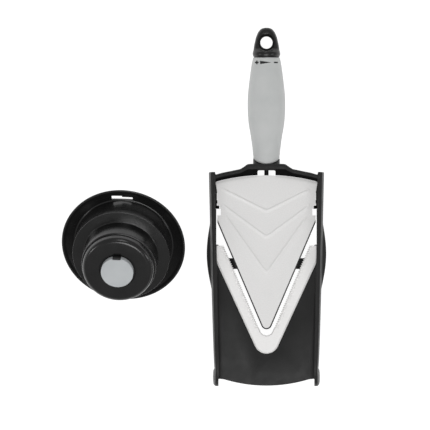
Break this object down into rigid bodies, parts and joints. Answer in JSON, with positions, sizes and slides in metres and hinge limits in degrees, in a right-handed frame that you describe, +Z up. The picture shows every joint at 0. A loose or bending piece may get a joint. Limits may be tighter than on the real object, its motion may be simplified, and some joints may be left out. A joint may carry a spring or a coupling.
{
  "type": "mandoline slicer",
  "caption": "Flat V-blade mandoline slicer with side rails, a handle whose end knob lowers the ramp, and a separate round stepped food pusher with a sliding spiked plunger.",
  "frame": {"origin": "on the surface that it lies on, under the middle of the box round the slicer and its pusher", "axes": "+Y from the feet to the hanging eye along the slicer, +X to the right as seen from above with the eye at the top, +Z up out of the ramp's face"},
  "size_m": [0.2878, 0.39, 0.1023],
  "materials": {
    "body_black": "fine moulded texture, satin",
    "foot_rubber": "matt grey rubber",
    "blade_steel": "ground and brushed",
    "ramp_steel": "fine bead-blasted steel",
    "screw_steel": "plain steel",
    "inner_black": "moulded black",
    "guide_black": "low-friction black",
    "grip_grey": "soft-touch, fine texture",
    "bush_white": "natural acetal",
    "knob_black": "semi-gloss",
    "rod_dark": "blackened steel",
    "ring_rubber": "black rubber",
    "nut_brass": "turned brass",
    "pusher_black": "satin top, glossy edges",
    "button_grey": "satin grey"
  },
  "bodies": {
    "frame": {"frame": "body_black", "foot_pad_left": "foot_rubber", "foot_pad_right": "foot_rubber", "v_blade": "blade_steel", "blade_backing": "blade_steel", "blade_screws": "screw_steel", "guide_insert_left": "guide_black", "guide_insert_right": "guide_black", "grip_sleeve": "grip_grey", "handle_core": "inner_black", "neck_screws": "screw_steel", "front_bush": "bush_white", "rear_bush": "bush_white"},
    "spindle": {"loop_knob": "knob_black", "adjust_rod": "rod_dark", "knob_pin": "screw_steel", "rod_clip": "screw_steel", "friction_ring": "ring_rubber"},
    "nut": {"drive_nut": "nut_brass", "nut_carriage": "inner_black", "carriage_pin": "screw_steel"},
    "ramp": {"ramp_plate": "ramp_steel", "ramp_carrier": "inner_black"},
    "pusher": {"pusher_body": "pusher_black", "crown_cap": "pusher_black"},
    "plunger": {"plunger_button": "button_grey", "plunger_stem": "inner_black", "spike_plate": "inner_black", "spikes": "screw_steel", "plunger_screw": "screw_steel"}
  },
  "joints": [
    {"name": "knob_turn", "type": "hinge", "parent": "frame", "child": "spindle", "pos_m": [0.07886, 0.105, 0.0153], "axis": [0, 1, 0], "range_deg": [0, 720]},
    {"name": "nut_slide", "type": "slide", "parent": "frame", "child": "nut", "axis": [0, 1, 0], "range_m": [0, 0.005]},
    {"name": "ramp_slide", "type": "slide", "parent": "frame", "child": "ramp", "axis": [0, 0.7071, -0.7071], "range_m": [0, 0.00707]},
    {"name": "pusher_lift", "type": "slide", "parent": "frame", "child": "pusher", "axis": [0, 0, 1], "range_m": [0, 0.12]},
    {"name": "plunger_slide", "type": "slide", "parent": "pusher", "child": "plunger", "axis": [-0.1033, -0.479, 0.8717], "range_m": [0, 0.035]}
  ],
  "couplings": [
    {"joint": "knob_turn", "follows": "ramp_slide", "rad_per_m": 1777.2},
    {"joint": "nut_slide", "follows": "ramp_slide", "ratio": 0.70711}
  ]
}
